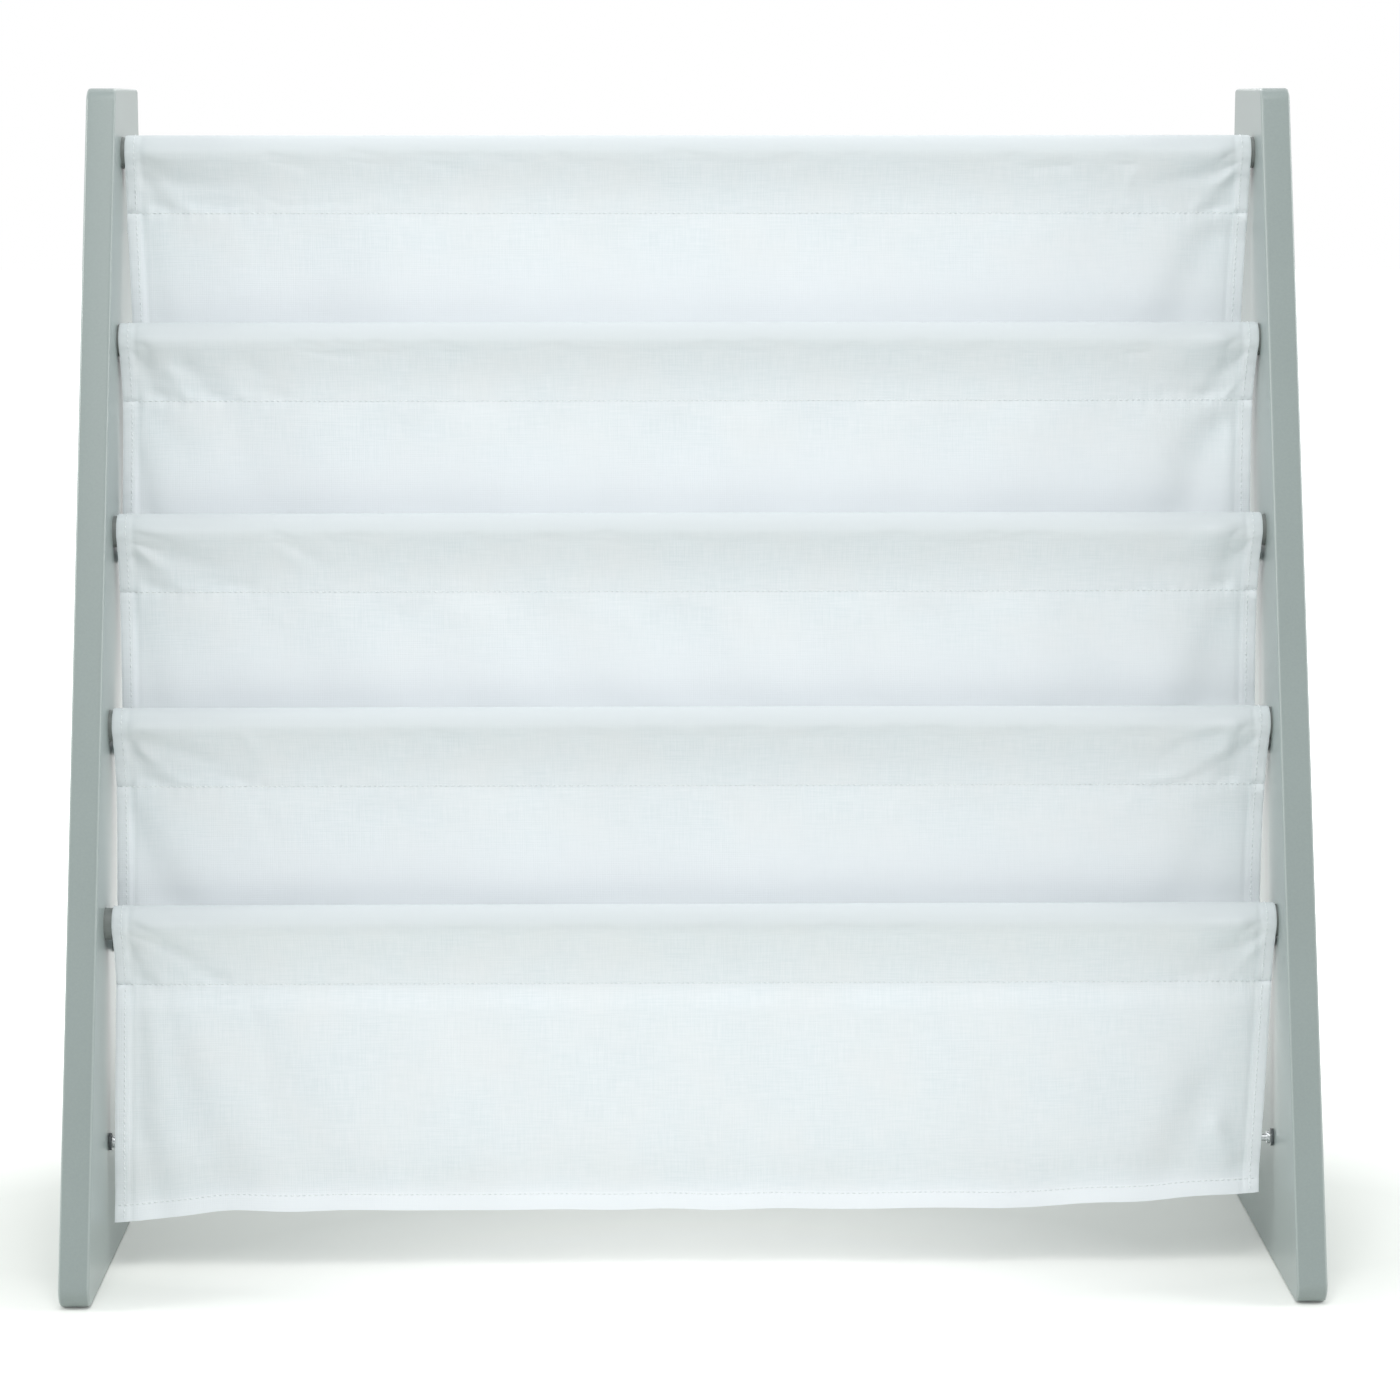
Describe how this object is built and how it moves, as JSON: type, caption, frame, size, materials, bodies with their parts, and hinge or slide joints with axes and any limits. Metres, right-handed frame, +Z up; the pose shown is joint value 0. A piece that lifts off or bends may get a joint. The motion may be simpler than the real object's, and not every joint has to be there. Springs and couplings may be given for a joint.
{
  "type": "sling bookshelf",
  "caption": "Low sling bookshelf for a child's room: canvas pockets hang on round rails between two sloping grey side panels, so that books face forward.",
  "frame": {"origin": "on the floor, under the middle of the shelf's overall box", "axes": "+Z up, +X along the rails to the right as seen from the front, and the front, where the books go in, faces -Y"},
  "size_m": [0.616, 0.28, 0.586],
  "materials": {
    "painted_board": "fibreboard sprayed with satin grey paint",
    "painted_rail": "hardwood bar painted satin grey",
    "canvas": "plain woven white cotton canvas",
    "zinc_steel": "zinc plated",
    "bright_steel": "bright drawn wire",
    "cap_plastic": "moulded, satin grey",
    "bush_plastic": "moulded, dark grey"
  },
  "bodies": {
    "root": {"side_panel_left": "painted_board", "side_panel_right": "painted_board", "rail_1": "painted_rail", "rail_2": "painted_rail", "rail_3": "painted_rail", "rail_4": "painted_rail", "rail_5": "painted_rail", "threaded_insert_left_1": "zinc_steel", "rail_bolt_left_1": "zinc_steel", "cover_cap_left_1": "cap_plastic", "threaded_insert_left_2": "zinc_steel", "rail_bolt_left_2": "zinc_steel", "cover_cap_left_2": "cap_plastic", "threaded_insert_left_3": "zinc_steel", "rail_bolt_left_3": "zinc_steel", "cover_cap_left_3": "cap_plastic", "threaded_insert_left_4": "zinc_steel", "rail_bolt_left_4": "zinc_steel", "cover_cap_left_4": "cap_plastic", "threaded_insert_left_5": "zinc_steel", "rail_bolt_left_5": "zinc_steel", "cover_cap_left_5": "cap_plastic", "threaded_insert_right_1": "zinc_steel", "rail_bolt_right_1": "zinc_steel", "cover_cap_right_1": "cap_plastic", "threaded_insert_right_2": "zinc_steel", "rail_bolt_right_2": "zinc_steel", "cover_cap_right_2": "cap_plastic", "threaded_insert_right_3": "zinc_steel", "rail_bolt_right_3": "zinc_steel", "cover_cap_right_3": "cap_plastic", "threaded_insert_right_4": "zinc_steel", "rail_bolt_right_4": "zinc_steel", "cover_cap_right_4": "cap_plastic", "threaded_insert_right_5": "zinc_steel", "rail_bolt_right_5": "zinc_steel", "cover_cap_right_5": "cap_plastic", "pocket_rod_1": "bright_steel", "pocket_rod_2": "bright_steel", "pocket_rod_3": "bright_steel", "pocket_rod_4": "bright_steel", "rod_bush_left_1": "bush_plastic", "rod_bush_left_2": "bush_plastic", "rod_bush_left_3": "bush_plastic", "rod_bush_left_4": "bush_plastic", "rod_bush_right_1": "bush_plastic", "rod_bush_right_2": "bush_plastic", "rod_bush_right_3": "bush_plastic", "rod_bush_right_4": "bush_plastic", "canvas_sleeve_1": "canvas", "canvas_sleeve_2": "canvas", "canvas_sleeve_3": "canvas", "canvas_sleeve_4": "canvas", "canvas_sleeve_5": "canvas", "canvas_pocket_1": "canvas", "canvas_pocket_2": "canvas", "canvas_pocket_3": "canvas", "canvas_pocket_4": "canvas", "canvas_front_flap": "canvas"}
  },
  "joints": []
}
